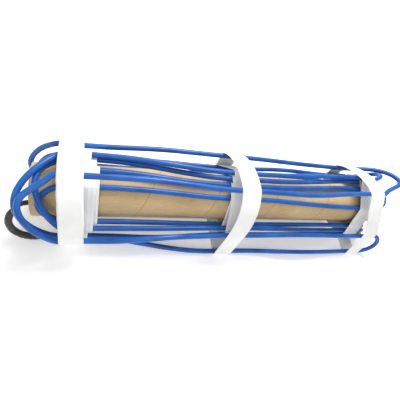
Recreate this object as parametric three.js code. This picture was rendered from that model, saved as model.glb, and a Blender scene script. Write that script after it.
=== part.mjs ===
import * as THREE from 'three';

// A snow melting cable laid in runs on three white tapes and rolled on a cardboard tube.
// Millimetres, +Z up, X along the roll. Angles turn about the tube's axis, from +Y towards +Z.

// Cable, its black splice sleeve, cold lead and end seal
const CABLE_DIAMETER = 6.5;
const SLEEVE_DIAMETER = 7.8;
const LEAD_DIAMETER = 5.5;
const SEAL_DIAMETER = 7.5;
const SEAL_LENGTH = 28;
const CORD_SIDES = 8;
const SLEEVE_SIDES = 10;
const SEAL_SIDES = 16;

// Cardboard tube
const TUBE_DIAMETER = 60;
const TUBE_WALL = 3;
const TUBE_LENGTH = 486;
const TUBE_SHIFT = 3;
const TUBE_SIDES = 40;

// Tapes, left, middle and right
const TAPE_SPACING = 200;
const TAPE_WIDTH = 25;
const TAPE_THICKNESS = 0.5;
const DRIFT_PLACES = [0, 0.6, 0.73, 0.8, 0.86, 1];
const TAPE_DRIFT = [
  [16, 6, -1, 0, 2, 2],
  [-4, -1, -1, 0, -6, -7],
  [8, 4, -9, 1, 19, 21],
];
const TAPE_FLAP = 12;
const TAPE_BOW = 29;
const LOOSE_RUNS = ['top_back', 'high_front'];

// Fits
const GAP = 0.3;
const HOLD_MARGIN = 1.5;
const FLOOR_LAYERS = 1.81;
const SPLICE_REACH = 33;
const FIT_LIMIT = 0.01;

const CABLE_RADIUS = CABLE_DIAMETER / 2;
const TUBE_RADIUS = TUBE_DIAMETER / 2;
const BORE_RADIUS = TUBE_RADIUS - TUBE_WALL;
const TUBE_LEFT = TUBE_SHIFT - TUBE_LENGTH / 2;
const TUBE_RIGHT = TUBE_SHIFT + TUBE_LENGTH / 2;
const LAYER = CABLE_DIAMETER + TAPE_THICKNESS + 2 * GAP;
const PLY = TAPE_THICKNESS + GAP;
const SEAT_RADIUS = TUBE_RADIUS + GAP + CABLE_RADIUS;
const FLOOR = -SEAT_RADIUS - FLOOR_LAYERS * LAYER;
const NEAR_RUN = CABLE_RADIUS + 4;
const STATIONS = [-TAPE_SPACING, 0, TAPE_SPACING];
const TAPE_NAMES = ['tape_left', 'tape_middle', 'tape_right'];

// Every run of the cable, from the outside of the roll inwards, where each tape holds it:
// its angle, and how many cable layers it lies above the tube. A run on the floor gives its
// sideways place instead, and how many plies of tape it lies on. The sway is how far the run
// leaves the smooth line midway between two tapes, in degrees and in layers.
const RUNS = [
  { name: 'front_foot', floor: [[-39, 1], [-61.5, 1], [-66.5, 1]], sway: [[-4, 0], [-5, 0]] },
  { name: 'low_front', at: [[187, 3.45], [179, 3.09], [183, 3.1]], sway: [[-15, 1], [-2.5, 0]] },
  { name: 'high_front', at: [[105, 3.1], [112, 3.1], [108, 3.1]], sway: [[-1, 0.5], [3.5, 0]] },
  { name: 'top_back', at: [[30, 2.45], [30, 2.8], [30, 2.45]], sway: [[0, 0.25], [0, -0.05]] },
  { name: 'back_foot', floor: [[30, 2], [31, 2], [30, 2]], sway: [[2, 1], [-2, 1]] },
  { name: 'under_front', at: [[206, 2.42], [206, 2.3], [209, 2.3]], sway: [[2, 0.4], [-1, 0]] },
  { name: 'top_second', at: [[63, 1.77], [80, 1.73], [74, 2.05]], sway: [[3.5, 0.3], [0.5, 0]] },
  { name: 'back_second', at: [[5, 1.64], [3, 1.64], [5, 1.64]], sway: [[2, 0], [0, 0.4]] },
  { name: 'under_second', at: [[268, 1.04], [268, 1.04], [268, 1.04]], sway: [[2, 0], [-2, 0]] },
  { name: 'low_second', at: [[188.5, 1.5], [184.5, 1.5], [202, 1.5]], sway: [[-1.5, 0.1], [0.5, 0]] },
  { name: 'top_third', at: [[59, 0.85], [87, 1], [73, 1]], sway: [[1.5, 0], [3, 0]] },
  { name: 'back_third', at: [[358, 0.4], [358, 0.4], [358, 0.4]], sway: [[-3, 0], [2, 0.2]] },
  { name: 'under_third', at: [[280, 0.1], [280, 0.1], [280, 0.1]], sway: [[0, 0.2], [2, 0]] },
  { name: 'low_inner', at: [[184.5, 0.52], [196, 0.52], [193.5, 0.52]], sway: [[-1, 0], [-0.5, 0]] },
  { name: 'on_tube', at: [[112.5, 0.04], [123.5, 0], [134.5, 0]], sway: [[-1.5, 0.1], [0.5, 0.1]] },
  { name: 'top_inner', at: [[81, 0.33], [97, 0.33], [86.5, 0.33]], sway: [[1.5, 0.1], [2.5, 0.1]] },
];

// The U-turns that join each run to the next, right and left by turns: how far each reaches past
// the tape's centre, how far it stands out at its middle, how far it swings round, and how
// slantwise it leaves the tape at its first and its second end (0 straight, 1 slantwise).
const TURNS = [
  { reach: 50, lift: 0, swing: 0, lean: [0, 0] },
  { reach: 46, lift: -4.5, swing: -6.1, lean: [0.73, 1.1] },
  { reach: 57.7, lift: 1.8, swing: 11.9, lean: [1.1, 0.79] },
  { reach: 48.4, lift: -2, swing: -10, lean: [1.1, 0.9] },
  { reach: 56, lift: 0, swing: 0, lean: [0.3, 0.3] },
  { reach: 49.6, lift: -2.5, swing: 4.2, lean: [1.1, 1.1] },
  { reach: 52, lift: -1, swing: 0, lean: [0.3, 0.3] },
  { reach: 41, lift: -2, swing: 3, lean: [0, 0] },
  { reach: 46, lift: 0, swing: 0, lean: [0.3, 0.3] },
  { reach: 33.1, lift: -2, swing: -12, lean: [1.09, 0.66] },
  { reach: 47, lift: -1, swing: 0, lean: [0.3, 0.3] },
  { reach: 37, lift: 0, swing: 0, lean: [0.3, 0.3] },
  { reach: 40, lift: 0, swing: 0, lean: [0.3, 0.3] },
  { reach: 31, lift: -1.8, swing: -2, lean: [0.3, 0.3] },
  { reach: 40, lift: 1, swing: 3, lean: [-0.5, -0.5] },
];
const TURN_POINTS = 9;
const SPAN_PIECES = 5;

const radians = THREE.MathUtils.degToRad;
const degrees = THREE.MathUtils.radToDeg;

// How a tape is laid: the finest step round a circle, its first and last directions, and its bows
const ARC_STEP = radians(24);
const FIRST_TURN = radians(60);
const DOWN = radians(270);
const MOST_BOW = radians(TAPE_BOW);
const BOW_SHARE = 0.9;
const BOW_PIECES = 8;

function polar(angle, radius) {
  return new THREE.Vector2(Math.cos(radians(angle)) * radius, Math.sin(radians(angle)) * radius);
}

// A run's centre at one tape, across the roll: x is sideways (+Y) and y is up (+Z).
function runCentre(run, station) {
  if (run.floor) {
    const [sideways, plies] = run.floor[station];
    return new THREE.Vector2(sideways, FLOOR + plies * PLY + CABLE_RADIUS);
  }
  const [angle, layers] = run.at[station];
  return polar(angle, SEAT_RADIUS + layers * LAYER);
}

// The winding goes inwards against the angle, so each run's angle lies below the last one's.
function windingAngles(centres) {
  const angles = [];
  for (const centre of centres) {
    let angle = degrees(Math.atan2(centre.y, centre.x));
    const last = angles.length ? angles[angles.length - 1] : 360;
    while (angle > last) angle -= 360;
    while (angle <= last - 360) angle += 360;
    angles.push(angle);
  }
  return angles;
}

const CENTRES = STATIONS.map((x, station) => RUNS.map((run) => runCentre(run, station)));
const ANGLES = CENTRES.map(windingAngles);

// How far a tape lies off its line at a share of its length, from its inner end.
function driftAt(station, place) {
  const steps = TAPE_DRIFT[station];
  const index = Math.max(1, DRIFT_PLACES.findIndex((end) => end >= place - FIT_LIMIT));
  const share = THREE.MathUtils.smoothstep(place, DRIFT_PLACES[index - 1], DRIFT_PLACES[index]);
  return steps[index - 1] + (steps[index] - steps[index - 1]) * share;
}

function outlineLengths(outline) {
  const lengths = [0];
  for (let index = 1; index < outline.length; index += 1) {
    lengths.push(lengths[index - 1] + outline[index].distanceTo(outline[index - 1]));
  }
  return lengths;
}

// For each run, the least and the most drift of the plies of tape that pass over it.
function heldDrifts(station) {
  const outline = tapeOutline(station);
  const lengths = outlineLengths(outline);
  const drifts = lengths.map((length) => driftAt(station, length / lengths[lengths.length - 1]));
  return CENTRES[station].map((centre) => {
    const near = drifts.filter((drift, index) => outline[index].distanceTo(centre) < NEAR_RUN);
    return [Math.min(...near), Math.max(...near)];
  });
}

const DRIFTS = STATIONS.map((x, station) => heldDrifts(station));

// Where a tape holds a run, the run stays straight across the tape and its drift there.
function holdEnds(station, index) {
  const half = TAPE_WIDTH / 2 + HOLD_MARGIN;
  const [low, high] = DRIFTS[station][index];
  return [STATIONS[station] - half + low, STATIONS[station] + half + high];
}

const lerp = THREE.MathUtils.lerp;

function aboveFloor(height) {
  return Math.max(height, FLOOR + PLY + CABLE_RADIUS);
}

// The run between two tapes leaves each hold straight, and sways midway.
function spanPoints(index, span) {
  const [turn, layers] = RUNS[index].sway[span];
  const angles = [ANGLES[span][index], ANGLES[span + 1][index]];
  const radii = [CENTRES[span][index].length(), CENTRES[span + 1][index].length()];
  const [start, end] = [holdEnds(span, index)[1], holdEnds(span + 1, index)[0]];
  const points = [];
  for (let step = 1; step < SPAN_PIECES; step += 1) {
    const share = step / SPAN_PIECES;
    const blend = THREE.MathUtils.smoothstep(share, 0, 1);
    const sway = Math.sin(Math.PI * share) ** 2;
    const place = polar(lerp(...angles, blend) + turn * sway, lerp(...radii, blend) + layers * LAYER * sway);
    points.push(new THREE.Vector3(lerp(start, end, share), place.x, aboveFloor(place.y)));
  }
  return points;
}

function runPoints(index) {
  const points = [];
  for (let station = 0; station < STATIONS.length; station += 1) {
    const centre = CENTRES[station][index];
    for (const x of holdEnds(station, index)) points.push(new THREE.Vector3(x, centre.x, centre.y));
    if (station < STATIONS.length - 1) points.push(...spanPoints(index, station));
  }
  return index % 2 ? points.reverse() : points;
}

function turnPoints(index) {
  const turn = TURNS[index];
  const station = index % 2 ? 0 : STATIONS.length - 1;
  const edges = [index, index + 1].map((run) => holdEnds(station, run)[index % 2 ? 0 : 1]);
  const apex = STATIONS[station] + Math.sign(STATIONS[station]) * turn.reach;
  const angles = [ANGLES[station][index], ANGLES[station][index + 1]];
  const radii = [CENTRES[station][index].length(), CENTRES[station][index + 1].length()];
  const points = [];
  for (let step = 1; step <= TURN_POINTS; step += 1) {
    const share = step / (TURN_POINTS + 1);
    const blend = lerp((1 - Math.cos(Math.PI * share)) / 2, share, lerp(...turn.lean, share));
    const bulge = Math.sin(Math.PI * share);
    const angle = lerp(...angles, blend) + turn.swing * bulge * bulge;
    const place = polar(angle, lerp(...radii, blend) + turn.lift * bulge);
    const x = lerp(lerp(...edges, share), apex, bulge);
    points.push(new THREE.Vector3(x, place.x, aboveFloor(place.y)));
  }
  return points;
}

// The sleeve takes over from the outermost run's left end, turns up beside the roll and hands
// over to the lead, which goes on into the tube. Both meet their neighbour face to face. The
// sleeve turns round the tube's left end, and the lead's places are given from that end too.
const SPLICE_X = STATIONS[0] - SPLICE_REACH;
const STRAIGHT = 6;
const SLEEVE_TURN = Math.min(TUBE_LEFT, SPLICE_X - STRAIGHT);
const SLEEVE_BEND = [[-11, -38.5, -37.5], [-19, -36, -29.5], [-22.5, -31.5, -20], [-20.5, -26.5, -12]];
const SLEEVE_END = [-16, -22, -7.5];
const LEAD_BEND = [[-7, -16, -4], [2, -15, -4], [14, -17, -7.5]];
const LEAD_ENDS = [TUBE_LEFT + 34, TUBE_RIGHT - 15];
const LEAD_SEATS = [320, 338];
const FOLD_POINTS = 6;

function placeFrom(end, row) {
  return new THREE.Vector3(end + row[0], row[1], row[2]);
}

const sleeveEnd = () => placeFrom(SLEEVE_TURN, SLEEVE_END);
const sleeveBend = () => SLEEVE_BEND.map((row) => placeFrom(SLEEVE_TURN, row));

function cableStart(shift) {
  const lift = (SLEEVE_DIAMETER - CABLE_DIAMETER) / 2;
  return new THREE.Vector3(SPLICE_X - shift, CENTRES[0][0].x, CENTRES[0][0].y + lift);
}

function cableRoute() {
  const points = [cableStart(-GAP)];
  RUNS.forEach((run, index) => {
    points.push(...runPoints(index));
    if (index < TURNS.length) points.push(...turnPoints(index));
  });
  const sealed = STATIONS[0] - TAPE_WIDTH / 2 + SEAL_LENGTH + GAP;
  while (points[points.length - 1].x < sealed + HOLD_MARGIN) points.pop();
  const last = CENTRES[0][RUNS.length - 1];
  points.push(new THREE.Vector3(sealed, last.x, last.y));
  return points;
}

function sleeveRoute() {
  return [cableStart(0), cableStart(STRAIGHT), ...sleeveBend(), sleeveEnd()];
}

function leadStart(distance) {
  const end = sleeveEnd();
  return end.clone().add(end.clone().sub(sleeveBend().pop()).setLength(distance));
}

class RoutedCurve extends THREE.CatmullRomCurve3 {
  constructor(points) {
    super(points, false, 'centripetal');
  }

  getUtoTmapping(share) {
    return share;
  }
}

function roundSection(diameter, sides) {
  const section = new THREE.Shape();
  for (let side = 0; side < sides; side += 1) {
    const corner = polar((side + 1 / 2) * 360 / sides, diameter / 2);
    if (side) section.lineTo(corner.x, corner.y);
    else section.moveTo(corner.x, corner.y);
  }
  section.closePath();
  return section;
}

function roundCord(points, diameter, sides, stepsPerSpan) {
  const path = new RoutedCurve(points);
  const steps = (points.length - 1) * stepsPerSpan;
  return new THREE.ExtrudeGeometry(roundSection(diameter, sides), { steps, extrudePath: path });
}

// A tape is pulled over circles: round each run it holds, and round the plies that already
// lie over an inner run where one stands in its way. It is worked out from the inside outwards.
function tangentNormal(from, to) {
  const along = to.centre.clone().sub(from.centre);
  const distance = along.length();
  along.divideScalar(distance);
  const lean = (from.radius - to.radius) / distance;
  const outward = new THREE.Vector2(along.y, -along.x);
  return along.multiplyScalar(lean).add(outward.multiplyScalar(Math.sqrt(1 - lean * lean)));
}

// The tape goes straight from one circle to the next, or round what stands out furthest.
function pullTaut(from, to, others) {
  const normal = tangentNormal(from, to);
  const reach = (circle) => normal.dot(circle.centre) + circle.radius;
  const furthest = others.reduce((best, circle) => (reach(circle) > reach(best) ? circle : best), from);
  if (reach(furthest) <= reach(from) + FIT_LIMIT) return [from, to];
  const rest = others.filter((circle) => circle !== furthest);
  return [...pullTaut(from, furthest, rest), ...pullTaut(furthest, to, rest).slice(1)];
}

function rim(circle, angle) {
  const reach = circle.radius + TAPE_THICKNESS / 2;
  return new THREE.Vector2(Math.cos(angle) * reach, Math.sin(angle) * reach).add(circle.centre);
}

// Where the tape hangs loose between two circles it bows out in an arc. The bow is the angle
// by which it leaves the straight line at each end.
function bowPoints(from, to, bow) {
  const normal = tangentNormal(from, to).angle();
  const [start, end] = [rim(from, normal - bow), rim(to, normal + bow)];
  const handle = start.distanceTo(end) * Math.tan(bow / 2) * 2 / 3 / Math.sin(bow);
  const along = (angle) => new THREE.Vector2(-Math.sin(angle), Math.cos(angle)).multiplyScalar(handle);
  const leaving = start.clone().add(along(normal - bow));
  const arriving = end.clone().sub(along(normal + bow));
  return new THREE.CubicBezierCurve(start, leaving, arriving, end).getPoints(BOW_PIECES);
}

function clears(points, circles) {
  const nearest = (circle) => Math.min(...points.map((point) => point.distanceTo(circle.centre)));
  return circles.every((circle) => nearest(circle) > circle.radius + TAPE_THICKNESS);
}

function tapeCircles(station) {
  const plies = RUNS.map(() => 0);
  const angles = ANGLES[station];
  const circle = (index) => ({
    centre: CENTRES[station][index],
    radius: CABLE_RADIUS + GAP + plies[index] * PLY + sealRise(station, index),
    index,
  });
  const tube = { centre: new THREE.Vector2(), radius: TUBE_RADIUS + GAP };
  const order = RUNS.map((run, index) => index).sort((a, b) => angles[a] - angles[b]);
  let route = [];
  for (let step = 1; step < order.length; step += 1) {
    const [inner, outer] = [order[step - 1], order[step]];
    const passed = order.slice(0, step - 1).filter((other) => {
      const turn = THREE.MathUtils.euclideanModulo(angles[other] - angles[inner], 360);
      return turn < angles[outer] - angles[inner];
    });
    const [from, to] = [circle(inner), circle(outer)];
    const others = [tube, ...passed.map(circle)];
    from.loose = LOOSE_RUNS.includes(RUNS[inner].name) && clears(bowPoints(from, to, MOST_BOW), others);
    const taut = from.loose ? [from, to] : pullTaut(from, to, others);
    for (const item of taut.slice(1, -1)) plies[item.index] += 1;
    if (route.length) route[route.length - 1].loose = from.loose;
    route = route.concat(route.length ? taut.slice(1) : taut);
    plies[inner] += 1;
  }
  return route;
}

function sealRise(station, index) {
  const sealed = station === 0 && index === RUNS.length - 1;
  return sealed ? (SEAL_DIAMETER - CABLE_DIAMETER) / 2 : 0;
}

// Each circle turns the tape from its arriving to its leaving direction. A loose stretch takes
// its bow out of the turns at both of its ends, which never give more than BOW_SHARE of a turn.
function tapeTurns(circles) {
  const turns = circles.map((circle, index) => {
    const leaving = index < circles.length - 1 ? tangentNormal(circle, circles[index + 1]).angle() : DOWN;
    const arriving = index ? tangentNormal(circles[index - 1], circle).angle() : leaving - FIRST_TURN;
    const sweep = THREE.MathUtils.euclideanModulo(leaving - arriving, 2 * Math.PI);
    const bows = (circle.loose ? 1 : 0) + (index && circles[index - 1].loose ? 1 : 0);
    return { arriving, sweep, room: sweep * BOW_SHARE / Math.max(bows, 1), bow: 0 };
  });
  circles.slice(0, -1).forEach((circle, index) => {
    if (circle.loose) turns[index].bow = Math.min(MOST_BOW, turns[index].room, turns[index + 1].room);
  });
  return turns;
}

function tapeOutline(station) {
  const circles = tapeCircles(station);
  const turns = tapeTurns(circles);
  const points = [];
  circles.forEach((circle, index) => {
    const before = index ? turns[index - 1].bow : 0;
    const { arriving, sweep, bow } = turns[index];
    const start = arriving + before;
    const rest = sweep - before - bow;
    const pieces = Math.max(1, Math.ceil(rest / ARC_STEP));
    for (let piece = 0; piece <= pieces; piece += 1) points.push(rim(circle, start + rest * piece / pieces));
    if (bow) points.push(...bowPoints(circle, circles[index + 1], bow).slice(1, -1));
  });
  const foot = CENTRES[station][RUNS.findIndex((run) => run.name === 'back_foot')];
  const floor = points[points.length - 1].y;
  points.push(new THREE.Vector2(foot.x + TAPE_FLAP, floor));
  return points;
}

// A tape's path: straight from point to point, its width always along the roll.
class TapePath extends THREE.Curve {
  constructor(points) {
    super();
    this.points = points;
  }

  getPoint(share, target = new THREE.Vector3()) {
    const place = share * (this.points.length - 1);
    const index = Math.min(Math.floor(place), this.points.length - 2);
    return target.lerpVectors(this.points[index], this.points[index + 1], place - index);
  }

  getUtoTmapping(share) {
    return share;
  }

  computeFrenetFrames() {
    const last = this.points.length - 1;
    const direction = (index) => this.points[index + 1].clone().sub(this.points[index]).setX(0).normalize();
    const tangents = this.points.map((point, index) => {
      const before = direction(Math.max(index - 1, 0));
      return before.add(direction(Math.min(index, last - 1))).normalize();
    });
    const normals = tangents.map(() => new THREE.Vector3(1, 0, 0));
    const binormals = tangents.map((tangent, index) => tangent.clone().cross(normals[index]));
    return { tangents, normals, binormals };
  }
}

function tape(station) {
  const outline = tapeOutline(station);
  const lengths = outlineLengths(outline);
  const route = outline.map((point, index) => {
    const drift = driftAt(station, lengths[index] / lengths[lengths.length - 1]);
    return new THREE.Vector3(STATIONS[station] + drift, point.x, point.y);
  });
  const section = new THREE.Shape();
  const [across, through] = [TAPE_WIDTH / 2, TAPE_THICKNESS / 2];
  section.moveTo(-across, -through);
  section.lineTo(across, -through);
  section.lineTo(across, through);
  section.lineTo(-across, through);
  section.closePath();
  return new THREE.ExtrudeGeometry(section, { steps: route.length - 1, extrudePath: new TapePath(route) });
}

function tube() {
  const half = TUBE_LENGTH / 2;
  const profile = [
    new THREE.Vector2(BORE_RADIUS, -half),
    new THREE.Vector2(TUBE_RADIUS, -half),
    new THREE.Vector2(TUBE_RADIUS, half),
    new THREE.Vector2(BORE_RADIUS, half),
    new THREE.Vector2(BORE_RADIUS, -half),
  ];
  const geometry = new THREE.LatheGeometry(profile, TUBE_SIDES);
  geometry.rotateZ(-Math.PI / 2);
  geometry.translate(TUBE_SHIFT, 0, 0);
  return geometry;
}

// The lead lies folded in the lower half of the bore, in two pairs of runs joined by U-turns.
function leadRoute() {
  const wall = BORE_RADIUS - GAP - LEAD_DIAMETER / 2;
  const [lower, upper] = LEAD_SEATS.map((seat) => polar(seat, wall));
  const [left, right] = LEAD_ENDS;
  const middle = (left + right) / 2;
  const legs = [
    { from: [-lower.x, lower.y], to: [lower.x, lower.y], end: right, side: 1 },
    { from: [lower.x, lower.y], to: [-upper.x, upper.y], end: left, side: -1 },
    { from: [-upper.x, upper.y], to: [upper.x, upper.y], end: right, side: 1 },
  ];
  const points = [leadStart(GAP), leadStart(STRAIGHT), ...LEAD_BEND.map((row) => placeFrom(TUBE_LEFT, row))];
  points.push(new THREE.Vector3(left, -lower.x, lower.y));
  for (const leg of legs) {
    points.push(new THREE.Vector3(middle, ...leg.from));
    const width = Math.abs(leg.to[0] - leg.from[0]) / 2;
    for (let step = 0; step <= FOLD_POINTS; step += 1) {
      const angle = Math.PI * step / FOLD_POINTS;
      const share = (1 - Math.cos(angle)) / 2;
      const x = leg.end + leg.side * width * (Math.sin(angle) - 1);
      const y = lerp(leg.from[0], leg.to[0], share);
      points.push(new THREE.Vector3(x, y, lerp(leg.from[1], leg.to[1], share)));
    }
  }
  points.push(new THREE.Vector3(middle, upper.x, upper.y));
  points.push(new THREE.Vector3(left, upper.x, upper.y));
  return points;
}

function seal() {
  const geometry = new THREE.CylinderGeometry(SEAL_DIAMETER / 2, SEAL_DIAMETER / 2, SEAL_LENGTH, SEAL_SIDES);
  const centre = CENTRES[0][RUNS.length - 1];
  geometry.rotateZ(Math.PI / 2);
  geometry.translate(STATIONS[0] - TAPE_WIDTH / 2 + SEAL_LENGTH / 2, centre.x, centre.y);
  return geometry;
}

function material(color, roughness) {
  return new THREE.MeshStandardMaterial({ color, roughness, metalness: 0 });
}

const BLUE = material(0x2a5cc4, 0.45);
const BLACK = material(0x2b2a28, 0.6);
const KRAFT = material(0xc49a62, 0.9);
const WHITE = material(0xf3f2ee, 0.8);

const roll = new THREE.Group();

function add(name, geometry, finish) {
  const mesh = new THREE.Mesh(geometry, finish);
  mesh.name = name;
  roll.add(mesh);
}

add('core_tube', tube(), KRAFT);
add('heating_cable', roundCord(cableRoute(), CABLE_DIAMETER, CORD_SIDES, 1), BLUE);
TAPE_NAMES.forEach((name, station) => add(name, tape(station), WHITE));
add('splice_sleeve', roundCord(sleeveRoute(), SLEEVE_DIAMETER, SLEEVE_SIDES, 2), BLACK);
add('cold_lead', roundCord(leadRoute(), LEAD_DIAMETER, CORD_SIDES, 1), BLACK);
add('end_seal', seal(), BLACK);

// The origin is at the middle of the underside of the whole roll's box.
const part = new THREE.Group();
part.add(roll);
const box = new THREE.Box3().setFromObject(roll, true);
roll.position.set(-(box.min.x + box.max.x) / 2, -(box.min.y + box.max.y) / 2, -box.min.z);

export default part;
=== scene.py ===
import math
from collections import namedtuple

import bmesh
import bpy
import numpy as np
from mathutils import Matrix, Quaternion, Vector, geometry, noise


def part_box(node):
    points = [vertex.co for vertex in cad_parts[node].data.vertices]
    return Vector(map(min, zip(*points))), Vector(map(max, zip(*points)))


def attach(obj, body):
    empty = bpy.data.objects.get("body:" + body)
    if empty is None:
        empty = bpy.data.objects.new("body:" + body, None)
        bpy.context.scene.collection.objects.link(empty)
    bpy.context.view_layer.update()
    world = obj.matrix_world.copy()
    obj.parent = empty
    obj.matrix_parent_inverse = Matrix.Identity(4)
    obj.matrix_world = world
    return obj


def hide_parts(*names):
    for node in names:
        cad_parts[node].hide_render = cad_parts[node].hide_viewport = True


# A snow melting cable laid in runs on three white tapes and rolled on a cardboard tube.
# Metres, +Z up, X along the roll. Angles turn about the tube's axis, from +Y towards +Z.
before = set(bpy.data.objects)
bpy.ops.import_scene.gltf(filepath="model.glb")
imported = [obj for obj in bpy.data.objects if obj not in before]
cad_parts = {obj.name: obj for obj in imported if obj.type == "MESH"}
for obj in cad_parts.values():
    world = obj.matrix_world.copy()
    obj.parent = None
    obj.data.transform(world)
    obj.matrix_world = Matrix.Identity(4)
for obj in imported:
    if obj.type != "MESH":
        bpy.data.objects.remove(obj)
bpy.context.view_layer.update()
tube_low, tube_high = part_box("core_tube")

# Cable, its black splice sleeve, cold lead and end seal
CABLE_DIAMETER = 0.0065
SLEEVE_DIAMETER = 0.0078
LEAD_DIAMETER = 0.0055
SEAL_DIAMETER = 0.0075
SEAL_LENGTH = 0.028

# Cardboard tube
TUBE_WALL = 0.003
TUBE_SHIFT = 0.003
TUBE_RADIUS = (tube_high.z - tube_low.z) / 2
TUBE_ENDS = (tube_low.x, tube_high.x)

# Tapes, left, middle and right
TAPE_SPACING = 0.2
TAPE_WIDTH = 0.025
TAPE_THICKNESS = 0.0005
DRIFT_PLACES = (0, 0.6, 0.73, 0.8, 0.86, 1)
TAPE_DRIFT = (
    (0.016, 0.006, -0.001, 0, 0.002, 0.002),
    (-0.004, -0.001, -0.001, 0, -0.006, -0.007),
    (0.008, 0.004, -0.009, 0.001, 0.019, 0.021),
)
TAPE_FLAP = 0.012
TAPE_BOW = 29
LOOSE_RUNS = ("top_back", "high_front")
TAPE_NAMES = ("tape_left", "tape_middle", "tape_right")

# Fits
GAP = 0.0003
HOLD_MARGIN = 0.0015
FIT_LIMIT = 0.00001

# The middle of the middle tape on the tube's axis: the roll's own zero point
AXIS = Vector(((tube_low.x + tube_high.x) / 2 - TUBE_SHIFT, *((tube_low + tube_high) / 2).yz))
CABLE_RADIUS = CABLE_DIAMETER / 2
BORE_RADIUS = TUBE_RADIUS - TUBE_WALL
LAYER = CABLE_DIAMETER + TAPE_THICKNESS + 2 * GAP
PLY = TAPE_THICKNESS + GAP
SEAT_RADIUS = TUBE_RADIUS + GAP + CABLE_RADIUS
FLOOR = -AXIS.z
STATIONS = (-TAPE_SPACING, 0, TAPE_SPACING)

# Every run of the cable, from the outside of the roll inwards, where each tape holds it:
# its angle, and how many cable layers it lies above the tube. A run on the floor gives its
# sideways place instead, and how many plies of tape it lies on. The sway is how far the run
# leaves the smooth line midway between two tapes, in degrees and in layers.
RUNS = (
    {"name": "front_foot", "floor": ((-0.039, 1), (-0.0615, 1), (-0.0665, 1)), "sway": ((-4, 0), (-5, 0))},
    {"name": "low_front", "at": ((187, 3.45), (179, 3.09), (183, 3.1)), "sway": ((-15, 1), (-2.5, 0))},
    {"name": "high_front", "at": ((105, 3.1), (112, 3.1), (108, 3.1)), "sway": ((-1, 0.5), (3.5, 0))},
    {"name": "top_back", "at": ((30, 2.45), (30, 2.8), (30, 2.45)), "sway": ((0, 0.25), (0, -0.05))},
    {"name": "back_foot", "floor": ((0.03, 2), (0.031, 2), (0.03, 2)), "sway": ((2, 1), (-2, 1))},
    {"name": "under_front", "at": ((206, 2.42), (206, 2.3), (209, 2.3)), "sway": ((2, 0.4), (-1, 0))},
    {"name": "top_second", "at": ((63, 1.77), (80, 1.73), (74, 2.05)), "sway": ((3.5, 0.3), (0.5, 0))},
    {"name": "back_second", "at": ((5, 1.64), (3, 1.64), (5, 1.64)), "sway": ((2, 0), (0, 0.4))},
    {"name": "under_second", "at": ((268, 1.04), (268, 1.04), (268, 1.04)), "sway": ((2, 0), (-2, 0))},
    {"name": "low_second", "at": ((188.5, 1.5), (184.5, 1.5), (202, 1.5)), "sway": ((-1.5, 0.1), (0.5, 0))},
    {"name": "top_third", "at": ((59, 0.85), (87, 1), (73, 1)), "sway": ((1.5, 0), (3, 0))},
    {"name": "back_third", "at": ((358, 0.4), (358, 0.4), (358, 0.4)), "sway": ((-3, 0), (2, 0.2))},
    {"name": "under_third", "at": ((280, 0.1), (280, 0.1), (280, 0.1)), "sway": ((0, 0.2), (2, 0))},
    {"name": "low_inner", "at": ((184.5, 0.52), (196, 0.52), (193.5, 0.52)), "sway": ((-1, 0), (-0.5, 0))},
    {"name": "on_tube", "at": ((112.5, 0.04), (123.5, 0), (134.5, 0)), "sway": ((-1.5, 0.1), (0.5, 0.1))},
    {"name": "top_inner", "at": ((81, 0.33), (97, 0.33), (86.5, 0.33)), "sway": ((1.5, 0.1), (2.5, 0.1))},
)

# The U-turns that join each run to the next, right and left by turns: how far each reaches past
# the tape's centre, how far it stands out at its middle, how far it swings round, and how
# slantwise it leaves the tape at its first and its second end (0 straight, 1 slantwise).
Turn = namedtuple("Turn", "reach lift swing lean")
TURNS = (
    Turn(0.05, 0, 0, (0, 0)),
    Turn(0.046, -0.0045, -6.1, (0.73, 1.1)),
    Turn(0.0577, 0.0018, 11.9, (1.1, 0.79)),
    Turn(0.0484, -0.002, -10, (1.1, 0.9)),
    Turn(0.056, 0, 0, (0.3, 0.3)),
    Turn(0.0496, -0.0025, 4.2, (1.1, 1.1)),
    Turn(0.052, -0.001, 0, (0.3, 0.3)),
    Turn(0.041, -0.002, 3, (0, 0)),
    Turn(0.046, 0, 0, (0.3, 0.3)),
    Turn(0.0331, -0.002, -12, (1.09, 0.66)),
    Turn(0.047, -0.001, 0, (0.3, 0.3)),
    Turn(0.037, 0, 0, (0.3, 0.3)),
    Turn(0.04, 0, 0, (0.3, 0.3)),
    Turn(0.031, -0.0018, -2, (0.3, 0.3)),
    Turn(0.04, 0.001, 3, (-0.5, -0.5)),
)
TURN_POINTS = 9
SPAN_PIECES = 5

# The sleeve bends up round the tube's left end, and the lead goes on into the tube: places are
# given from that end.
SPLICE_X = STATIONS[0] - 0.033
STRAIGHT = 0.006
TUBE_LEFT, TUBE_RIGHT = [end - AXIS.x for end in TUBE_ENDS]
SLEEVE_BEND = (
    (-0.0110, -0.0385, -0.0375),
    (-0.0190, -0.0360, -0.0295),
    (-0.0225, -0.0315, -0.0200),
    (-0.0205, -0.0265, -0.0120),
)
SLEEVE_END = (-0.0160, -0.0220, -0.0075)
LEAD_BEND = ((-0.007, -0.016, -0.004), (0.002, -0.015, -0.004), (0.014, -0.017, -0.0075))
LEAD_ENDS = (TUBE_LEFT + 0.034, TUBE_RIGHT - 0.015)
LEAD_SEATS = (320, 338)
FOLD_POINTS = 6


def polar(angle, radius):
    """A place across the roll: its first number is sideways (+Y) and its second is up (+Z)."""
    return Vector((math.cos(math.radians(angle)), math.sin(math.radians(angle)))) * radius


def angle_of(place):
    """The angle, in degrees, at which a place across the roll lies."""
    return math.degrees(math.atan2(place[1], place[0]))


def mix(start, end, share):
    """What lies between start and end, at a share of the way."""
    return start + (end - start) * share


# The runs' places


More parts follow.
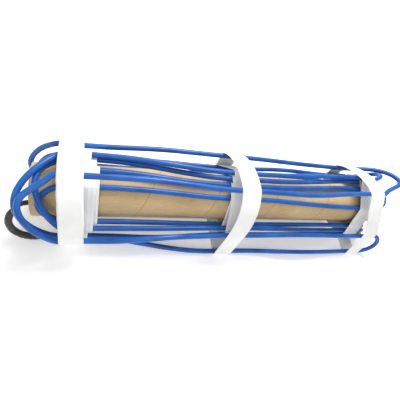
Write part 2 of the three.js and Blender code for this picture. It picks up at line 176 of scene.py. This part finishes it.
def run_centre(run, station):
    """A run's centre at one tape, across the roll."""
    if "floor" in run:
        sideways, plies = run["floor"][station]
        return Vector((sideways, FLOOR + plies * PLY + CABLE_RADIUS))
    angle, layers = run["at"][station]
    return polar(angle, SEAT_RADIUS + layers * LAYER)


def winding_angles(centres):
    """The winding goes inwards against the angle, so each run's angle lies below the last one's."""
    angles = []
    for centre in centres:
        last = angles[-1] if angles else 360
        angle = angle_of(centre)
        while angle > last:
            angle -= 360
        while angle <= last - 360:
            angle += 360
        angles.append(angle)
    return angles


CENTRES = [[run_centre(run, station) for run in RUNS] for station in range(len(STATIONS))]
ANGLES = [winding_angles(centres) for centres in CENTRES]
LAST_RUN = len(RUNS) - 1


# The tapes, each pulled taut over the runs that it holds

Circle = namedtuple("Circle", "centre radius run loose")
ARC_STEP = math.radians(10)
FIRST_TURN = math.radians(60)
DOWN = math.radians(270)
MOST_BOW = math.radians(TAPE_BOW)
BOW_SHARE = 0.9
BOW_PIECES = 16
CHORD_STEP = 0.004
NEAR_RUN = CABLE_RADIUS + 0.004


def tangent_normal(start, end):
    """The direction from a circle's centre to where a taut tape leaves it for the next circle."""
    along = end.centre - start.centre
    distance = along.length
    along = along / distance
    lean = (start.radius - end.radius) / distance
    return along * lean + Vector((along.y, -along.x)) * math.sqrt(1 - lean * lean)


def pull_taut(start, end, others):
    """The tape goes straight from one circle to the next, or round what stands out furthest."""
    normal = tangent_normal(start, end)

    def reach(circle):
        return normal.dot(circle.centre) + circle.radius

    furthest = max(others, key=reach, default=start)
    if reach(furthest) <= reach(start) + FIT_LIMIT:
        return [start, end]
    rest = [circle for circle in others if circle is not furthest]
    return pull_taut(start, furthest, rest) + pull_taut(furthest, end, rest)[1:]


def seal_rise(station, index):
    """How much further out a tape passes where the end seal is thicker than the cable."""
    sealed = station == 0 and index == LAST_RUN
    return (SEAL_DIAMETER - CABLE_DIAMETER) / 2 if sealed else 0


def angle_from(direction):
    """The angle, in radians, of a direction across the roll."""
    return math.atan2(direction.y, direction.x)


def rim(circle, angle):
    """A point on the middle line of a tape that lies round a circle."""
    return circle.centre + polar(math.degrees(angle), circle.radius + TAPE_THICKNESS / 2)


def bow_points(start, end, bow):
    """The arc of a tape that hangs loose, leaving the straight line by the bow at each end."""
    normal = angle_from(tangent_normal(start, end))
    places = rim(start, normal - bow), rim(end, normal + bow)
    handle = (places[1] - places[0]).length * math.tan(bow / 2) * 2 / 3 / math.sin(bow)
    leaving = places[0] + polar(math.degrees(normal - bow) + 90, handle)
    arriving = places[1] - polar(math.degrees(normal + bow) + 90, handle)
    return geometry.interpolate_bezier(places[0], leaving, arriving, places[1], BOW_PIECES + 1)


def clears(points, circles):
    """Whether a tape along the points stays off every circle."""

    def nearest(circle):
        return min((point - circle.centre).length for point in points)

    return all(nearest(circle) > circle.radius + TAPE_THICKNESS for circle in circles)


def tape_circles(station):
    """A tape passes round each run, and round the plies that already lie over an inner run."""
    plies = [0] * len(RUNS)
    angles = ANGLES[station]

    def circle(index):
        radius = CABLE_RADIUS + GAP + plies[index] * PLY + seal_rise(station, index)
        return Circle(CENTRES[station][index], radius, index, False)

    tube = Circle(Vector((0, 0)), TUBE_RADIUS + GAP, None, False)
    order = sorted(range(len(RUNS)), key=lambda index: angles[index])
    route = []
    for step in range(1, len(order)):
        inner, outer = order[step - 1:step + 1]
        sweep = angles[outer] - angles[inner]
        passed = [other for other in order[:step - 1] if (angles[other] - angles[inner]) % 360 < sweep]
        start, end = circle(inner), circle(outer)
        others = [tube, *map(circle, passed)]
        loose = RUNS[inner]["name"] in LOOSE_RUNS and clears(bow_points(start, end, MOST_BOW), others)
        taut = [start, end] if loose else pull_taut(start, end, others)
        for item in taut[1:-1]:
            if item.run is not None:
                plies[item.run] += 1
        if route:
            route[-1] = route[-1]._replace(loose=loose)
        route += taut[1:] if route else taut
        plies[inner] += 1
    return route


def tape_turns(circles):
    """Each circle's arriving direction, its sweep and the bow of the tape beyond it."""
    turns = []
    for index, circle in enumerate(circles):
        leaving = DOWN
        if index < len(circles) - 1:
            leaving = angle_from(tangent_normal(circle, circles[index + 1]))
        arriving = leaving - FIRST_TURN
        bows = int(circle.loose)
        if index:
            arriving = angle_from(tangent_normal(circles[index - 1], circle))
            bows += int(circles[index - 1].loose)
        sweep = (leaving - arriving) % (2 * math.pi)
        turns.append([arriving, sweep, sweep * BOW_SHARE / max(bows, 1)])
    bends = []
    for index, (arriving, sweep, room) in enumerate(turns):
        bow = min(MOST_BOW, room, turns[index + 1][2]) if circles[index].loose else 0
        bends.append((arriving, sweep, bow))
    return bends


def tape_outline(station):
    """The tape's middle line across the roll: each point, and how freely the tape hangs there."""
    circles = tape_circles(station)
    turns = tape_turns(circles)
    outline = []
    for index, circle in enumerate(circles):
        before = turns[index - 1][2] if index else 0
        arriving, sweep, bow = turns[index]
        rest = sweep - before - bow
        pieces = max(1, math.ceil(rest / ARC_STEP))
        for piece in range(pieces + 1):
            outline.append(rim(circle, arriving + before + rest * piece / pieces))
        if bow:
            outline += [place.to_2d() for place in bow_points(circle, circles[index + 1], bow)[1:-1]]
    foot = next(index for index, run in enumerate(RUNS) if run["name"] == "back_foot")
    outline.append(Vector((CENTRES[station][foot].x + TAPE_FLAP, outline[-1].y)))
    rows = [(outline[0], 0)]
    for start, end in zip(outline, outline[1:]):
        span = (end - start).length
        pieces = max(1, math.ceil(span / CHORD_STEP))
        for piece in range(1, pieces + 1):
            share = piece / pieces
            rows.append((start.lerp(end, share), math.sin(math.pi * share) * min(1, span / TAPE_WIDTH)))
    return rows


def drift_at(station, place):
    """How far a tape lies off its line at a share of its length, from its inner end."""
    steps = TAPE_DRIFT[station]
    for start, end, low, high in zip(DRIFT_PLACES, DRIFT_PLACES[1:], steps, steps[1:]):
        if place <= end:
            share = (place - start) / (end - start)
            return mix(low, high, share * share * (3 - 2 * share))
    return steps[-1]


def outline_lengths(rows):
    """How far along the tape each row lies, from the inner end."""
    places = [place for place, free in rows]
    steps = [(end - start).length for start, end in zip(places, places[1:])]
    return np.concatenate(([0], np.cumsum(steps)))


def held_drifts(station):
    """For each run, the least and the most drift of the plies of tape that pass over it."""
    rows = tape_outline(station)
    lengths = outline_lengths(rows)
    drifts = [drift_at(station, length / lengths[-1]) for length in lengths]
    ranges = []
    for centre in CENTRES[station]:
        near = [drift for (place, free), drift in zip(rows, drifts) if (place - centre).length < NEAR_RUN]
        ranges.append((min(near), max(near)))
    return ranges


DRIFTS = [held_drifts(station) for station in range(len(STATIONS))]


# The routes of the cable, its sleeve and its lead


def hold_ends(station, index):
    """Where a tape holds a run, the run stays straight across the tape and its drift there."""
    half = TAPE_WIDTH / 2 + HOLD_MARGIN
    low, high = DRIFTS[station][index]
    return STATIONS[station] - half + low, STATIONS[station] + half + high


def above_floor(height):
    """A height for the cable's middle that leaves room for a ply of tape under it."""
    return max(height, FLOOR + PLY + CABLE_RADIUS)


def span_points(index, span):
    """The run between two tapes leaves each hold straight, and sways midway."""
    turn, layers = RUNS[index]["sway"][span]
    angles = [ANGLES[station][index] for station in (span, span + 1)]
    radii = [CENTRES[station][index].length for station in (span, span + 1)]
    start, end = hold_ends(span, index)[1], hold_ends(span + 1, index)[0]
    points = []
    for step in range(1, SPAN_PIECES):
        share = step / SPAN_PIECES
        blend = share * share * (3 - 2 * share)
        sway = math.sin(math.pi * share) ** 2
        radius = mix(*radii, blend) + layers * LAYER * sway
        place = polar(mix(*angles, blend) + turn * sway, radius)
        points.append(Vector((mix(start, end, share), place.x, above_floor(place.y))))
    return points


def run_points(index):
    """A whole run through the three tapes; every other run goes from right to left."""
    points = []
    for station, centres in enumerate(CENTRES):
        points += [Vector((x, *centres[index])) for x in hold_ends(station, index)]
        if station < len(STATIONS) - 1:
            points += span_points(index, station)
    return points[::-1] if index % 2 else points


def turn_points(index):
    """The U-turn past an outer tape that joins a run to the next one."""
    turn = TURNS[index]
    station = 0 if index % 2 else len(STATIONS) - 1
    edges = [hold_ends(station, run)[0 if index % 2 else 1] for run in (index, index + 1)]
    apex = STATIONS[station] + math.copysign(turn.reach, STATIONS[station])
    angles = ANGLES[station][index:index + 2]
    radii = [centre.length for centre in CENTRES[station][index:index + 2]]
    points = []
    for step in range(1, TURN_POINTS + 1):
        share = step / (TURN_POINTS + 1)
        blend = mix((1 - math.cos(math.pi * share)) / 2, share, mix(*turn.lean, share))
        bulge = math.sin(math.pi * share)
        angle = mix(*angles, blend) + turn.swing * bulge * bulge
        place = polar(angle, mix(*radii, blend) + turn.lift * bulge)
        points.append(Vector((mix(mix(*edges, share), apex, bulge), place.x, above_floor(place.y))))
    return points


def cable_start(shift):
    """A point past the cable's outer end, lifted so that the thicker sleeve clears the floor."""
    lift = (SLEEVE_DIAMETER - CABLE_DIAMETER) / 2
    return Vector((SPLICE_X - shift, CENTRES[0][0].x, CENTRES[0][0].y + lift))


def cable_route():
    """All the runs and U-turns, from the sleeve at the outer end to the seal at the inner end."""
    points = [cable_start(-GAP)]
    for index in range(len(RUNS)):
        points += run_points(index)
        if index < len(TURNS):
            points += turn_points(index)
    sealed = STATIONS[0] - TAPE_WIDTH / 2 + SEAL_LENGTH + GAP
    while points[-1].x < sealed + HOLD_MARGIN:
        points.pop()
    return points + [Vector((sealed, *CENTRES[0][LAST_RUN]))]


def from_left_end(place):
    """A place that is given from the tube's left end, on the tube's axis."""
    return Vector(place) + Vector((TUBE_LEFT, 0, 0))


def sleeve_route():
    """From the cable's outer end, past the tube's left end, to where the lead begins."""
    bend = [from_left_end(place) for place in SLEEVE_BEND]
    return [cable_start(0), cable_start(STRAIGHT), *bend, from_left_end(SLEEVE_END)]


def lead_start(distance):
    """A point straight out of the sleeve's end."""
    end = Vector(SLEEVE_END)
    return from_left_end(end + (end - Vector(SLEEVE_BEND[-1])).normalized() * distance)


def lead_route():
    """The lead lies folded in the lower half of the bore, in two pairs of runs joined by U-turns."""
    wall = BORE_RADIUS - GAP - LEAD_DIAMETER / 2
    lower, upper = [polar(seat, wall) for seat in LEAD_SEATS]
    left, right = LEAD_ENDS
    mirror = Vector((-1, 1))
    legs = (
        (lower * mirror, lower, right, 1),
        (lower, upper * mirror, left, -1),
        (upper * mirror, upper, right, 1),
    )
    points = [lead_start(GAP), lead_start(STRAIGHT), *map(from_left_end, LEAD_BEND)]
    points.append(Vector((left, *(lower * mirror))))
    for start, end, reach, side in legs:
        points.append(Vector(((left + right) / 2, *start)))
        width = abs(end.x - start.x) / 2
        for step in range(FOLD_POINTS + 1):
            angle = math.pi * step / FOLD_POINTS
            place = mix(start, end, (1 - math.cos(angle)) / 2)
            points.append(Vector((reach + side * width * (math.sin(angle) - 1), *place)))
    return points + [Vector(((left + right) / 2, *upper)), Vector((left, *upper))]


# Smooth cords along the routes

CURVE_STEPS = 16


def knot_time(start, end):
    """A centripetal curve gives each span the square root of its length."""
    return math.sqrt((end - start).length)


def curve_handles(before, start, end, after):
    """The Bezier handles of a centripetal Catmull-Rom span from start to end."""
    early, span, late = knot_time(before, start), knot_time(start, end), knot_time(end, after)
    leaving = (start - before) / early - (end - before) / (early + span) + (end - start) / span
    arriving = (end - start) / span - (after - start) / (span + late) + (after - end) / late
    return start + leaving * span / 3, end - arriving * span / 3


def smooth_curve(points):
    """Points close together on the smooth curve through the points."""
    padded = [2 * points[0] - points[1], *points, 2 * points[-1] - points[-2]]
    dense = [points[0]]
    for before, start, end, after in zip(padded, padded[1:], padded[2:], padded[3:]):
        handles = curve_handles(before, start, end, after)
        dense += geometry.interpolate_bezier(start, *handles, end, CURVE_STEPS + 1)[1:]
    return dense


def smooth_path(points, step):
    """Evenly spaced points on the smooth curve, in the object's own frame, and its length."""
    dense = np.array(smooth_curve(points))
    lengths = np.concatenate(([0], np.cumsum(np.linalg.norm(np.diff(dense, axis=0), axis=1))))
    places = np.linspace(0, lengths[-1], round(lengths[-1] / step) + 1)
    even = np.stack([np.interp(places, lengths, dense[:, axis]) for axis in range(3)], axis=1)
    return [AXIS + Vector(place) for place in even], lengths[-1]


def put(name, data):
    """A new object in the scene."""
    made = bpy.data.objects.new(name, data)
    bpy.context.scene.collection.objects.link(made)
    return made


def finished_mesh(name, shape):
    """The mesh of a finished shape."""
    mesh = bpy.data.meshes.new(name)
    shape.to_mesh(mesh)
    shape.free()
    return mesh


def round_cord(name, path, diameter, sides, swell=lambda share: 1):
    """A cord's mesh along its path, with the length and the turn about it in its UV map."""
    curve = bpy.data.curves.new(name, "CURVE")
    curve.dimensions = "3D"
    curve.bevel_depth = diameter / 2
    curve.bevel_resolution = sides // 2 - 2
    curve.use_fill_caps = True
    spline = curve.splines.new("POLY")
    spline.points.add(len(path) - 1)
    for index, (point, place) in enumerate(zip(spline.points, path)):
        point.co = (*place, 1)
        point.radius = swell(index / (len(path) - 1))
    holder = put(name + "_curve", curve)
    bpy.context.view_layer.update()
    mesh = bpy.data.meshes.new_from_object(holder.evaluated_get(bpy.context.evaluated_depsgraph_get()))
    bpy.data.objects.remove(holder)
    mesh.name = name
    return put(name, mesh)


def dress(piece, finish, slot, *nodes):
    """The finished piece stands for its nodes, with its own material."""
    piece.data.materials.clear()
    piece.data.materials.append(finish)
    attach(piece, "root")
    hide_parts(*nodes)
    return piece


# Materials

# The board's spiral seam: how far along the tube one turn takes it, and where in a turn its line
# starts to fade and has faded. The whole turns keep the spiral's count above zero.
SEAM_PITCH = 0.085
SEAM_FADE = (0.012, 0.02)
WHOLE_TURNS = 100


class Finish:
    """A material whose nodes are added one by one and wired to the shader."""

    def __init__(self, name, color, roughness):
        self.material = bpy.data.materials.new(name)
        self.material.use_nodes = True
        self.tree = self.material.node_tree
        self.shader = self.tree.nodes["Principled BSDF"]
        self.shader.inputs["Base Color"].default_value = (*color, 1)
        self.shader.inputs["Roughness"].default_value = roughness
        self.coordinates = self.node("TexCoord")

    def node(self, kind, inputs=None, **settings):
        """A node with its settings, whose inputs are values or other nodes' sockets."""
        made = self.tree.nodes.new("ShaderNode" + kind)
        for key, value in settings.items():
            setattr(made, key, value)
        for key, value in (inputs or {}).items():
            if isinstance(value, bpy.types.NodeSocket):
                self.tree.links.new(value, made.inputs[key])
            else:
                made.inputs[key].default_value = value
        return made

    def place(self, scale=(1, 1, 1), source="Object"):
        """Coordinates drawn out or squeezed along each axis."""
        inputs = {"Vector": self.coordinates.outputs[source], "Scale": scale}
        return self.node("Mapping", inputs).outputs["Vector"]

    def noise(self, vector, scale, detail=2, roughness=0.5):
        inputs = {"Vector": vector, "Scale": scale, "Detail": detail, "Roughness": roughness}
        return self.node("TexNoise", inputs).outputs["Fac"]

    def spread(self, value, low, high, start=0, end=1):
        """The value from low to high, spread from start to end."""
        inputs = {"Value": value, "From Min": low, "From Max": high, "To Min": start, "To Max": end}
        return self.node("MapRange", inputs).outputs["Result"]

    def blend(self, share, first, second):
        """Two colours, or two colour sockets, mixed by a share."""
        mixer = self.node("Mix", data_type="RGBA")
        self.tree.links.new(share, mixer.inputs[0])
        for socket, color in ((mixer.inputs[6], first), (mixer.inputs[7], second)):
            if isinstance(color, bpy.types.NodeSocket):
                self.tree.links.new(color, socket)
            else:
                socket.default_value = (*color, 1)
        return mixer.outputs[2]

    def bump(self, height, distance, strength=1, under=None):
        inputs = {"Height": height, "Distance": distance, "Strength": strength}
        if under:
            inputs["Normal"] = under
        return self.node("Bump", inputs).outputs["Normal"]

    def math(self, operation, first, second=0):
        return self.node("Math", {0: first, 1: second}, operation=operation).outputs[0]

    def spiral(self, pitch):
        """How far round one turn of a spiral about the roll's axis a place lies, from 0 to 1."""
        parts = self.node("SeparateXYZ", {"Vector": self.coordinates.outputs["Object"]}).outputs
        sideways = self.math("SUBTRACT", parts["Y"], AXIS.y)
        upward = self.math("SUBTRACT", parts["Z"], AXIS.z)
        turned = self.math("DIVIDE", self.math("ARCTAN2", upward, sideways), 2 * math.pi)
        along = self.math("DIVIDE", parts["X"], pitch)
        return self.math("FRACT", self.math("ADD", self.math("ADD", along, turned), WHOLE_TURNS))

    def wire(self, **sockets):
        """Leads each socket to the shader's input of that name, and gives the material."""
        for name, socket in sockets.items():
            self.tree.links.new(socket, self.shader.inputs[name.replace("_", " ")])
        return self.material


def cable_jacket():
    """Satin blue jacket with faint drawing lines along it, and a few light rubs."""
    finish = Finish("blue_cable_jacket", (0.02, 0.10, 0.5), 0.4)
    finish.shader.inputs["Specular IOR Level"].default_value = 0.4
    lines = finish.noise(finish.place((6, 1.6, 1), "UV"), 9, 3)
    cloud = finish.noise(finish.place(), 35, 2)
    rubs = finish.spread(finish.noise(finish.place((0.35, 1, 1)), 210, 4, 0.6), 0.66, 0.75)
    color = finish.blend(finish.spread(cloud, 0.3, 0.7), (0.006, 0.072, 0.32), (0.013, 0.125, 0.46))
    color = finish.blend(finish.spread(rubs, 0, 1, 0, 0.25), color, (0.08, 0.25, 0.60))
    rough = finish.spread(lines, 0.3, 0.7, 0.26, 0.40)
    bump = finish.bump(lines, 0.0002, 0.35)
    bump = finish.bump(finish.noise(finish.place(), 900, 2), 0.00005, 0.4, bump)
    return finish.wire(Base_Color=color, Roughness=rough, Normal=bump)


def kraft_board():
    """Brown board wound in a spiral: fibres along it, dark flecks and the seam between turns."""
    finish = Finish("brown_tube_board", (0.62, 0.42, 0.2), 0.85)
    fibre = finish.noise(finish.place((0.25, 1, 1)), 420, 4, 0.6)
    cloud = finish.noise(finish.place((0.6, 1, 1)), 30, 3)
    flecks = finish.spread(finish.noise(finish.place((0.4, 1, 1)), 900, 1), 0.7, 0.78)
    color = finish.blend(finish.spread(cloud, 0.3, 0.7), (0.53, 0.36, 0.175), (0.66, 0.48, 0.25))
    color = finish.blend(finish.spread(fibre, 0.35, 0.75, 0, 0.4), color, (0.8, 0.6, 0.36))
    color = finish.blend(finish.spread(flecks, 0, 1, 0, 0.5), color, (0.3, 0.17, 0.07))
    seam = finish.spread(finish.spiral(SEAM_PITCH), *SEAM_FADE, 1, 0)
    color = finish.blend(finish.spread(seam, 0, 1, 0, 0.45), color, (0.33, 0.2, 0.09))
    bump = finish.bump(fibre, 0.0002, 0.5)
    bump = finish.bump(finish.spread(seam, 0, 1, 1, 0), 0.0003, 0.6, bump)
    return finish.wire(Base_Color=color, Normal=bump)


def white_cloth():
    """White cloth tape: a fine plain weave that shows as a faint grid."""
    finish = Finish("white_tape_cloth", (0.86, 0.86, 0.85), 0.8)
    finish.shader.inputs["Sheen Weight"].default_value = 0.15
    threads = []
    for direction in ("X", "Y"):
        inputs = {"Vector": finish.place(source="UV"), "Scale": 320, "Distortion": 0.6}
        threads.append(finish.node("TexWave", inputs, bands_direction=direction).outputs["Fac"])
    weave = finish.math("MULTIPLY", *threads)
    cloud = finish.noise(finish.place(), 60, 3)
    color = finish.blend(finish.spread(cloud, 0.3, 0.7), (0.83, 0.83, 0.82), (0.9, 0.9, 0.89))
    color = finish.blend(finish.spread(weave, 0, 1, 0, 0.25), color, (0.95, 0.95, 0.94))
    return finish.wire(Base_Color=color, Normal=finish.bump(weave, 0.0002, 0.4))


def heat_shrink():
    """Black heat-shrink, crinkled, with a painted olive highlight on its creases."""
    finish = Finish("black_heat_shrink", (0.03, 0.029, 0.025), 0.38)
    creases_and_glint = finish.noise(finish.place(), 260, 4, 0.6)
    # The lighter olive colour is a painted highlight laid on by the crease noise; the same noise bumps the
    # real creases.
    color = finish.blend(finish.spread(creases_and_glint, 0.35, 0.7), (0.018, 0.018, 0.016), (0.06, 0.056, 0.046))
    return finish.wire(Base_Color=color, Normal=finish.bump(creases_and_glint, 0.0006, 0.6))


def lead_jacket():
    """Matt black jacket with a fine grain."""
    finish = Finish("black_lead_jacket", (0.015, 0.015, 0.016), 0.55)
    grain = finish.noise(finish.place(), 800, 3)
    color = finish.blend(grain, (0.011, 0.011, 0.012), (0.024, 0.024, 0.025))
    return finish.wire(Base_Color=color, Normal=finish.bump(grain, 0.0001, 0.5))


# The tapes

# The cloth's creases: about how many a metre holds, across the tape and along it. Each tape
# takes them from another place in the noise.
TAPE_COLUMNS = 10
BROAD_CREASES = (90, 60)
SHARP_CREASES = (25, 220)
SHARP_SHARE = 0.8
CREASE_DEPTH = 0.0005
CREASE_SEED = 7
SHARP_SEED = 3

# The small waves of the tape's two edges
EDGE_WAVES = 120
EDGE_DEPTH = 0.0004
EDGE_SEED = 5
EDGE_SIDE = 3

# The cloth is a little thinner than the room that it has between the runs
CLOTH_SHARE = 0.8


def crease_at(across, length, station):
    """How far the creases move the cloth, as a share of their depth."""
    seed = station * CREASE_SEED
    broad = (across * BROAD_CREASES[0], length * BROAD_CREASES[1], seed)
    sharp = (across * SHARP_CREASES[0], length * SHARP_CREASES[1], seed + SHARP_SEED)
    return noise.noise(Vector(broad)) + noise.noise(Vector(sharp)) * SHARP_SHARE


def edge_wave(across, length, station):
    """How far the cloth is drawn sideways: most at its edges, and not at all in its middle."""
    place = (length * EDGE_WAVES, station * EDGE_SEED, math.copysign(EDGE_SIDE, across))
    return noise.noise(Vector(place)) * EDGE_DEPTH * abs(across) / TAPE_WIDTH * 2


def tape_mesh(station):
    """A tape's cloth along its outline, with its flat shape as its UV map."""
    rows = tape_outline(station)
    places = [place for place, free in rows]
    lengths = outline_lengths(rows)
    shape = bmesh.new()
    bmesh.ops.create_grid(shape, x_segments=TAPE_COLUMNS, y_segments=len(rows) - 1, size=0.5)
    uv = shape.loops.layers.uv.new("UVMap")
    flat = {}
    for vertex in shape.verts:
        across = vertex.co.x * TAPE_WIDTH
        row = round((vertex.co.y + 0.5) * (len(rows) - 1))
        length = float(lengths[row])
        place, free = rows[row]
        before, after = places[max(row - 1, 0)], places[min(row + 1, len(rows) - 1)]
        along = (after - before).normalized()
        outward = Vector((along.y, -along.x))
        place = place + outward * crease_at(across, length, station) * free * CREASE_DEPTH
        drift = drift_at(station, length / lengths[-1])
        spread = across + edge_wave(across, length, station)
        flat[vertex] = (across, length)
        vertex.co = AXIS + Vector((STATIONS[station] + drift + spread, *place))
        vertex.co.z = max(vertex.co.z, TAPE_THICKNESS / 2)
    for face in shape.faces:
        face.smooth = True
        for loop in face.loops:
            loop[uv].uv = flat[loop.vert]
    return finished_mesh(TAPE_NAMES[station] + "_cloth", shape)


def make_tape(station, finish):
    """A tape, given its thickness on both sides of its middle."""
    piece = put(TAPE_NAMES[station] + "_cloth", tape_mesh(station))
    wall = piece.modifiers.new("thickness", "SOLIDIFY")
    wall.thickness = TAPE_THICKNESS * CLOTH_SHARE
    wall.offset = 0
    return dress(piece, finish, "white_tape", TAPE_NAMES[station])


# Tube, cable, sleeve, lead and seal

# How far apart the points along each cord are, and how many sides each piece has
CABLE_STEP = 0.0025
CABLE_SIDES = 14
SLEEVE_STEP = 0.001
SLEEVE_SIDES = 24
LEAD_STEP = 0.003
LEAD_SIDES = 12
TUBE_SIDES = 128
SEAL_SIDES = 24

# The softened rims of the tube, and the rounded end of the seal
RIM_SOFT = 0.0004
RIM_LEAN = 0.3
SEAL_SOFT = 0.0015

# The sleeve is drawn in over a share of its length at each end, and crinkled all over: each
# size of crinkle has its scale and its share of the depth.
NECK_SHARE = 0.125
NECK_WIDTH = 0.84
CRINKLES = ((330, 0.5), (700, 0.3))
CRINKLE_DEPTH = 0.0007


def turned_shape(profile, centre, sides, closed=False):
    """A profile of places along the roll and radii, turned about a line along the roll."""
    shape = bmesh.new()
    corners = [shape.verts.new(centre + Vector((x, 0, radius))) for x, radius in profile]
    pairs = list(zip(corners, corners[1:]))
    if closed:
        pairs.append((corners[-1], corners[0]))
    edges = [shape.edges.new(pair) for pair in pairs]
    bmesh.ops.spin(
        shape,
        geom=corners + edges,
        cent=centre,
        axis=(1, 0, 0),
        angle=2 * math.pi,
        steps=sides,
        use_merge=True,
    )
    bmesh.ops.remove_doubles(shape, verts=shape.verts, dist=FIT_LIMIT)
    bmesh.ops.recalc_face_normals(shape, faces=shape.faces)
    return shape


def tube_mesh():
    """The tube's wall, smooth round its two skins and flat on its rims."""
    soft = RIM_SOFT
    left, right = TUBE_LEFT, TUBE_RIGHT
    profile = (
        (left, BORE_RADIUS + soft),
        (left, TUBE_RADIUS - soft),
        (left + soft, TUBE_RADIUS),
        (right - soft, TUBE_RADIUS),
        (right, TUBE_RADIUS - soft),
        (right, BORE_RADIUS + soft),
        (right - soft, BORE_RADIUS),
        (left + soft, BORE_RADIUS),
    )
    shape = turned_shape(profile, AXIS, TUBE_SIDES, closed=True)
    for face in shape.faces:
        face.smooth = abs(face.normal.x) < RIM_LEAN
    return finished_mesh("cardboard_tube", shape)


def make_tube():
    piece = put("cardboard_tube", tube_mesh())
    return dress(piece, kraft_board(), "kraft_board", "core_tube")


def make_cable():
    """The whole cable, kept just clear of the floor all along."""
    path = smooth_path(cable_route(), CABLE_STEP)[0]
    path = [Vector((*place.xy, max(place.z, CABLE_RADIUS + GAP))) for place in path]
    piece = round_cord("blue_heating_cable", path, CABLE_DIAMETER, CABLE_SIDES)
    return dress(piece, cable_jacket(), "cable_jacket", "heating_cable")


def make_sleeve(finish):
    """The shrunk sleeve, narrower at its ends and crinkled."""
    path = smooth_path(sleeve_route(), SLEEVE_STEP)[0]

    def swell(share):
        return mix(NECK_WIDTH, 1, min(1, min(share, 1 - share) / NECK_SHARE))

    piece = round_cord("crinkled_sleeve", path, SLEEVE_DIAMETER, SLEEVE_SIDES, swell)
    for vertex in piece.data.vertices:
        crinkle = sum(noise.noise(vertex.co * scale) * share for scale, share in CRINKLES)
        vertex.co += vertex.normal * crinkle * CRINKLE_DEPTH
        vertex.co.z = max(vertex.co.z, GAP)
    return dress(piece, finish, "black_sleeve", "splice_sleeve")


def make_lead():
    """The supply lead, bare at its far end in the bore."""
    path, length = smooth_path(lead_route(), LEAD_STEP)
    piece = round_cord("black_cold_lead", path, LEAD_DIAMETER, LEAD_SIDES)
    dress(piece, lead_jacket(), "black_lead", "cold_lead")
    return piece


def make_seal(finish):
    """The cap on the cable's inner end, rounded where it closes."""
    left = STATIONS[0] - TAPE_WIDTH / 2
    right = left + SEAL_LENGTH
    radius = SEAL_DIAMETER / 2
    soft = SEAL_SOFT
    profile = (
        (left, 0),
        (left, radius - soft),
        (left + soft, radius),
        (right - soft / 2, radius),
        (right, radius - soft / 2),
        (right, 0),
    )
    shape = turned_shape(profile, AXIS + Vector((0, *CENTRES[0][LAST_RUN])), SEAL_SIDES)
    piece = put("moulded_end_seal", finished_mesh("moulded_end_seal", shape))
    return dress(piece, finish, "black_sleeve", "end_seal")


# Camera, floor and light

CAMERA_PLACE = Vector((-0.186, -0.195, 0.3377))
CAMERA_TURN = -36.87
CAMERA_HEIGHT = 55.12
CAMERA_ROLL = 33.71
CAMERA_LENS = 28.44
CAMERA_NEAR = 0.01
FLOOR_SIZE = 3
FLOOR_GLOW = 0.28
SKY_STRENGTH = 0.6

# Each lamp stands at an azimuth and elevation from the roll, in degrees, and faces it
Lamp = namedtuple("Lamp", "name azimuth elevation distance size power")
LAMPS = (
    Lamp("window", 160, 62, 1.2, 0.5, 15),
    Lamp("fill", -20, 40, 1.5, 1.0, 4),
)


def view_direction(azimuth, elevation):
    """From the object towards a camera or a light: azimuth 0 stands in front, at -Y."""
    turn, rise = math.radians(azimuth), math.radians(elevation)
    return Vector((math.sin(turn) * math.cos(rise), -math.cos(turn) * math.cos(rise), math.sin(rise)))


def make_camera():
    camera = put("camera", bpy.data.cameras.new("camera"))
    camera.data.lens = CAMERA_LENS
    camera.data.clip_start = CAMERA_NEAR
    camera.location = AXIS + CAMERA_PLACE
    camera.rotation_mode = "QUATERNION"
    back = view_direction(CAMERA_TURN, CAMERA_HEIGHT)
    level = back.to_track_quat("Z", "Y")
    camera.rotation_quaternion = level @ Quaternion((0, 0, 1), math.radians(CAMERA_ROLL))
    bpy.context.scene.camera = camera


def make_floor():
    """A plain pale floor that glows a little, so that shadows on it stay light."""
    shape = bmesh.new()
    bmesh.ops.create_grid(shape, x_segments=1, y_segments=1, size=FLOOR_SIZE)
    floor = put("floor", finished_mesh("floor", shape))
    finish = Finish("pale_floor", (0.9, 0.9, 0.9), 0.9)
    finish.shader.inputs["Emission Color"].default_value = (1, 0.99, 0.98, 1)
    finish.shader.inputs["Emission Strength"].default_value = FLOOR_GLOW
    floor.data.materials.append(finish.material)


def make_light(lamp):
    light = put(lamp.name, bpy.data.lights.new(lamp.name, "AREA"))
    light.data.size = lamp.size
    light.data.energy = lamp.power
    direction = view_direction(lamp.azimuth, lamp.elevation)
    light.location = AXIS + direction * lamp.distance
    light.rotation_mode = "QUATERNION"
    light.rotation_quaternion = direction.to_track_quat("Z", "Y")


def make_view():
    """Colours as they are, with a white that stays white."""
    bpy.context.scene.view_settings.view_transform = "Standard"


def make_sky():
    world = bpy.data.worlds.new("soft_room")
    world.use_nodes = True
    sky = world.node_tree.nodes["Background"]
    sky.inputs["Color"].default_value = (1, 1, 1, 1)
    sky.inputs["Strength"].default_value = SKY_STRENGTH
    bpy.context.scene.world = world


make_camera()
make_lead()
make_cable()
black = heat_shrink()
make_sleeve(black)
make_seal(black)
make_tube()
cloth = white_cloth()
for station in range(len(STATIONS)):
    make_tape(station, cloth)
make_floor()
make_sky()
make_view()
for lamp in LAMPS:
    make_light(lamp)
